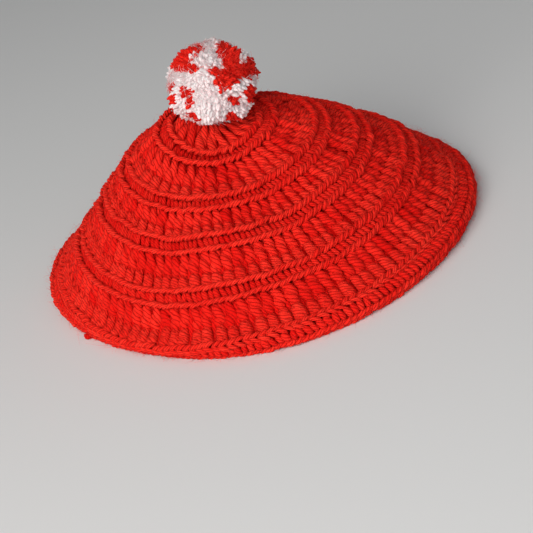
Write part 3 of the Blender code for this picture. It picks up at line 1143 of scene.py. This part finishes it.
class BERET_OT_headband(bpy.types.Operator):
    """Make the headband, its two faces of leaning stitches and its two corded edges"""

    bl_idname = "beret.headband"
    bl_label = "Headband"

    def execute(self, context):
        size = context.scene.beret_sizes
        rng = np.random.default_rng(500)
        finish_piece(band_core(context.scene.beret_look), "red_band_yarn", "headband")
        yarn = Yarn(rng, SHORT_RINGS)
        t, x = yarn.share, yarn.across
        rise = (BAND_TOP - BAND_BOTTOM - 2 * LEG_EDGE) / BAND_ROUNDS
        pitch = TURN / BAND_STITCHES
        faces = ((LEG_DEPTH, -LEG_BULGE), (BAND_WALL - LEG_DEPTH, LEG_BULGE))
        for level in range(BAND_ROUNDS):
            centre = stitch_azimuths(BAND_STITCHES, 0.5 * level, rng)
            height = BAND_BOTTOM + LEG_EDGE + rise * level + rise * (0.02 + 1.02 * t)
            for depth, bulge in faces:
                for leg in (-1, 1):
                    turn = centre + leg * pitch * (0.06 + 0.40 * t)
                    place = band_place(turn, height, depth + bulge * ease(t))
                    yarn.add(*place, size.yarn_radius * (0.60 + 0.34 * ease(t)))
        for height, offset in ((BAND_BOTTOM + CORD_EDGE, 0.2), (BAND_TOP - CORD_EDGE, 0.7)):
            for side in (-1, 1):
                centre = stitch_azimuths(BAND_STITCHES, offset + 0.2 * side, rng)
                depth = BAND_WALL / 2 + side * CORD_ASIDE + 0.0006 * x
                place = band_place(centre + 0.75 * pitch * x, height, depth)
                yarn.add(*place, size.yarn_radius * (0.55 + 0.40 * ease(t)))
        yarn.make("headband_rounds", band_yarn(), "red_band_yarn", "headband")
        return {"FINISHED"}


# Pompom. Shares are of its half width.

CORE_SHARE = 0.84
END_FOOT = 0.70  # where the yarn ends start
END_REACH = (0.968, 0.014)  # how far out they end, and its spread
END_LIMITS = (0.93, 1.0)
AIM_SPREAD = 0.022
LOCK_LEAN = 0.08
BEND_SPREAD = 0.028
DROOP = 0.03


def pompom_middle():
    """The middle of the pompom and its half widths."""
    low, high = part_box("pompom")
    return np.array((low + high) / 2), np.array((high - low) / 2)


def view_axes():
    """Right, up and towards the viewer for the reference camera, with its tilt and roll."""
    tilt, roll = math.radians(CAMERA_ELEVATION), math.radians(CAMERA_ROLL)
    forward = np.array([0, math.cos(tilt), -math.sin(tilt)])
    up = np.array([0, math.sin(tilt), math.cos(tilt)])
    right = np.array([1.0, 0, 0])
    rolled_right = right * math.cos(roll) - up * math.sin(roll)
    rolled_up = right * math.sin(roll) + up * math.cos(roll)
    return rolled_right, rolled_up, -forward


def red_in_pompom(aims):
    """Which cut ends are red, from the patches on each side of the pompom."""
    right, up, near = view_axes()
    x, y, z = aims @ right, aims @ up, aims @ near
    # The patches behind are guesses, bent so that none is a plain oval.
    behind = np.clip(-4 * z, 0, 1)
    x, y = x + 0.13 * behind * np.sin(8 * y + 2), y + 0.13 * behind * np.sin(12 * x + 1)
    red = np.zeros(len(aims), bool)
    for patches, side in ((NEAR_PATCHES, z > -0.05), (FAR_PATCHES, z < 0.05)):
        for patch in patches:
            across, along = (x - patch.right) / patch.wide, (y - patch.up) / patch.high
            red |= side & (across**2 + along**2 < 1)
    return red


def pompom_core(middle, reach, look):
    """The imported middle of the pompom, marked where the ends above it are red."""
    bm = bmesh.new()
    place = Matrix.Translation(middle) @ Matrix.Diagonal((*(reach * CORE_SHARE), 1))
    bmesh.ops.create_icosphere(bm, subdivisions=4, radius=1, matrix=place)
    mesh = bpy.data.meshes.new("pompom_core")
    bm.to_mesh(mesh)
    bm.free()
    mesh.shade_smooth()
    seats = np.empty(3 * len(mesh.vertices))
    mesh.vertices.foreach_get("co", seats)
    red = red_in_pompom(unit((seats.reshape(-1, 3) - middle) / reach))
    mesh.attributes.new("red", "FLOAT", "POINT").data.foreach_set("value", red.astype(float))
    mesh.materials.append(packed_yarn("packed_cut_yarn", look))
    return placed(mesh)


class BERET_OT_pompom(bpy.types.Operator):
    """Make the pompom of cut white and red yarn ends"""

    bl_idname = "beret.pompom"
    bl_label = "Pompom"

    def execute(self, context):
        size = context.scene.beret_sizes
        rng = np.random.default_rng(600)
        middle, reach = pompom_middle()
        core = pompom_core(middle, reach, context.scene.beret_look)
        finish_piece(core, "pompom_yarn", "pompom")

        # The ends stand evenly all round, a golden angle apart, and then stray a little.
        index = np.arange(POMPOM_ENDS) + 0.5
        high = 1 - 2 * index / POMPOM_ENDS
        turn = math.pi * (3 - math.sqrt(5)) * index
        flat = np.sqrt(1 - high * high)
        aims = np.stack([flat * np.cos(turn), flat * np.sin(turn), high], -1)
        aims = unit(aims + rng.normal(0, AIM_SPREAD, aims.shape))
        # Neighbouring ends lean the same way, in locks.
        waves = 6.5 * aims[:, [1, 2, 0]] + 4.2 * aims[:, [2, 0, 1]] + (0.4, 2.1, 4.0)
        lean = LOCK_LEAN * np.sin(waves)
        red = red_in_pompom(unit(aims + lean))
        rise = np.array([0, 0.35, 0.65, 0.88, 1.0])[None, :, None]
        bend = (lean + rng.normal(0, BEND_SPREAD, aims.shape) - (0, 0, DROOP))[:, None] * rise**2
        usual, spread = END_REACH
        far = np.clip(usual + rng.normal(0, spread, (len(aims), 1, 1)), *END_LIMITS)
        along = aims[:, None] * (END_FOOT + (1 - END_FOOT) * rise) * far
        points = middle + (along + bend) * reach
        out = square_to(aims, rng)[:, None]
        profile = np.array([0.9, 1.0, 0.98, 0.72, 0.26])[None]
        radius = size.pompom_strand * profile * rng.uniform(0.85, 1.2, (len(aims), 1))
        for name, chosen, material in (
            ("pompom_white_ends", ~red, white_yarn()), ("pompom_red_ends", red, red_yarn()),
        ):
            yarn = Yarn(rng, SHORT_RINGS)
            tint = rng.uniform(0.0, 0.9, chosen.sum())
            yarn.add(points[chosen], out[chosen], radius[chosen], tint=tint, twist=0.25)
            yarn.make(name, material, "pompom_yarn", "pompom")
        return {"FINISHED"}


def grown(roots, out, lengths, rise, profile, rng):
    """Routes, sides and radii of curling fibres, which leave their roots along out, by up to
    rise of their length, and drift aside."""
    count = (len(roots), 1)
    length = rng.uniform(*lengths, count)[..., None]
    t = np.linspace(0, 1, FIBRE_RINGS)[None]
    aside = square_to(out, rng)
    across = np.cross(out, aside)
    curl = rng.normal(0, 0.8, count)
    lift = (rng.uniform(0.1, rise, count) * t)[..., None] * out[:, None]
    drift = (rng.uniform(0.3, 1.0, count) * t)[..., None] * aside[:, None]
    sway = (curl * t * t)[..., None] * across[:, None]
    points = roots[:, None] + length * (lift + drift + sway)
    radius = profile * rng.uniform(0.7, 1.2, count)
    return points, square_to(out, rng)[:, None], radius


class BERET_OT_fibres(bpy.types.Operator):
    """Make the loose fibres that stand off the yarn"""

    bl_idname = "beret.fibres"
    bl_label = "Loose fibres"

    def execute(self, context):
        size = context.scene.beret_sizes
        look = context.scene.beret_look
        rng = np.random.default_rng(700)
        yarn = Yarn(rng, FIBRE_RINGS, FIBRE_SIDES)
        t = yarn.share
        azimuth = rng.uniform(0, TURN, CROWN_FIBRES)
        # More of them stand on the outer rounds, as far as the rolled edge.
        run = rng.uniform(0.01, 1, CROWN_FIBRES) ** 0.4 * 1.09
        profile = size.fibre_radius * (1 - 0.6 * t)
        yarn.add(*grown(*on_cloth(azimuth, run, 0.0008), CROWN_LENGTHS, 0.9, profile, rng))
        red = loose_fibre("loose_red_fibre", look.red_dark, look.red_light)
        yarn.make("crown_fibres", red, "red_yarn", "crown")

        middle, reach = pompom_middle()
        aims = unit(rng.normal(0, 1, (POMPOM_FIBRES, 3)))
        # A quarter of them point down.
        down = rng.uniform(0, 1, POMPOM_FIBRES) < 0.25
        aims[:, 2] = np.abs(aims[:, 2]) * np.where(down, -1, 1)
        roots = middle + aims * reach * 0.955
        profile = size.fibre_radius * (2.2 - 1.4 * t)
        fibres = grown(roots, aims, POMPOM_LENGTHS, 0.45, profile, rng)
        pale = loose_fibre("loose_white_fibre", look.white_deep_shade, look.white)
        # No white fibre lies over a red patch or close beside it.
        in_red = red_in_pompom(aims)
        near_red = red_in_pompom(unit(aims + rng.normal(0, 0.10, aims.shape))) | in_red
        for name, chosen, material in (
            ("pompom_white_fibres", ~near_red, pale), ("pompom_red_fibres", in_red, red),
        ):
            yarn = Yarn(rng, FIBRE_RINGS, FIBRE_SIDES)
            yarn.add(*(part[chosen] for part in fibres))
            yarn.make(name, material, "pompom_yarn", "pompom")
        return {"FINISHED"}


# Stage

FLOOR_SIZE = 6
SKY_STRENGTH = 0.19
CLIP = (0.05, 30)
Light = namedtuple("Light", "name place watts size colour")
LIGHTS = (
    Light("key", (-0.78, -1.55, 1.08), 47, 1.7, "FFFAF6"),
    Light("fill", (0.5, -1.7, 0.8), 6, 1.8, "F2F6FF"),
    Light("back", (-1.2, 1.4, 1.5), 1, 1.6, "FFFFFF"),
)


def reference_camera():
    """A camera at the reference picture's distance, height, tilt and lens."""
    right, up, near = (Vector(axis) for axis in view_axes())
    aimed = Matrix((right, up, near)).transposed()
    # The camera turns a little so that its target falls on TARGET_PIXEL with no shift.
    aside = (TARGET_PIXEL[0] - FRAME_SIZE / 2) / FOCAL_PIXELS
    above = (FRAME_SIZE / 2 - TARGET_PIXEL[1]) / FOCAL_PIXELS
    seen = Vector((aside, above, -1)).normalized()
    turn = seen.rotation_difference(Vector((0, 0, -1))).to_matrix()
    data = bpy.data.cameras.new("camera")
    data.sensor_width = SENSOR
    data.lens = FOCAL_PIXELS / FRAME_SIZE * SENSOR
    data.clip_start, data.clip_end = CLIP
    camera = bpy.data.objects.new("camera", data)
    place = Matrix.Translation(TARGET + near * CAMERA_DISTANCE)
    camera.matrix_world = place @ (aimed @ turn).to_4x4()
    bpy.context.scene.collection.objects.link(camera)
    return camera


class BERET_OT_stage(bpy.types.Operator):
    """Make the floor, the lights and the camera"""

    bl_idname = "beret.stage"
    bl_label = "Stage"

    def execute(self, context):
        scene = context.scene
        bm = bmesh.new()
        bmesh.ops.create_grid(bm, x_segments=1, y_segments=1, size=FLOOR_SIZE)
        mesh = bpy.data.meshes.new("floor")
        bm.to_mesh(mesh)
        bm.free()
        grey = linear("DCDEDE")
        mesh.materials.append(matt_cloth("painted_board", grey, grey, BOARD_GRAIN, 0.0))
        placed(mesh)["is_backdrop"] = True
        for row in LIGHTS:
            data = bpy.data.lights.new(row.name, "AREA")
            data.energy, data.size, data.color = row.watts, row.size, linear(row.colour)
            light = bpy.data.objects.new(row.name, data)
            light.location = row.place
            aim = Vector((0, 0, TARGET.z)) - Vector(row.place)
            light.rotation_euler = aim.to_track_quat("-Z", "Y").to_euler()
            scene.collection.objects.link(light)
        world = bpy.data.worlds.new("studio")
        world.use_nodes = True
        sky = world.node_tree.nodes["Background"]
        sky.inputs["Color"].default_value = (*linear("F0F2F5"), 1)
        sky.inputs["Strength"].default_value = SKY_STRENGTH
        scene.world = world
        # A photograph's saturated reds need the plain transform.
        scene.view_settings.view_transform = "Standard"
        scene.camera = reference_camera()
        return {"FINISHED"}


class BERET_PT_panel(bpy.types.Panel):
    """Buttons that make the beret's pieces"""

    bl_label = "Beret"
    bl_idname = "BERET_PT_panel"
    bl_space_type = "VIEW_3D"
    bl_region_type = "UI"
    bl_category = "Beret"

    def draw(self, context):
        for operator in OPERATORS:
            self.layout.operator(operator.bl_idname)


OPERATORS = (
    BERET_OT_backing,
    BERET_OT_tall_rounds,
    BERET_OT_ridges,
    BERET_OT_rim,
    BERET_OT_inside,
    BERET_OT_headband,
    BERET_OT_pompom,
    BERET_OT_fibres,
    BERET_OT_stage,
)
CLASSES = (BeretSizes, BeretLook, *OPERATORS, BERET_PT_panel)


def register():
    for cls in CLASSES:
        bpy.utils.register_class(cls)
    bpy.types.Scene.beret_sizes = bpy.props.PointerProperty(type=BeretSizes)
    bpy.types.Scene.beret_look = bpy.props.PointerProperty(type=BeretLook)


def unregister():
    del bpy.types.Scene.beret_look
    del bpy.types.Scene.beret_sizes
    for cls in reversed(CLASSES):
        bpy.utils.unregister_class(cls)


def main():
    register()
    bpy.ops.beret.backing()
    bpy.ops.beret.tall_rounds()
    bpy.ops.beret.ridges()
    bpy.ops.beret.rim()
    bpy.ops.beret.inside()
    bpy.ops.beret.headband()
    bpy.ops.beret.pompom()
    bpy.ops.beret.fibres()
    bpy.ops.beret.stage()
    boxes = {"cad": CAD_BOX, "visual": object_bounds()}
    boxes = {name: [list(corner) for corner in box] for name, box in boxes.items()}


if __name__ == "__main__":
    main()
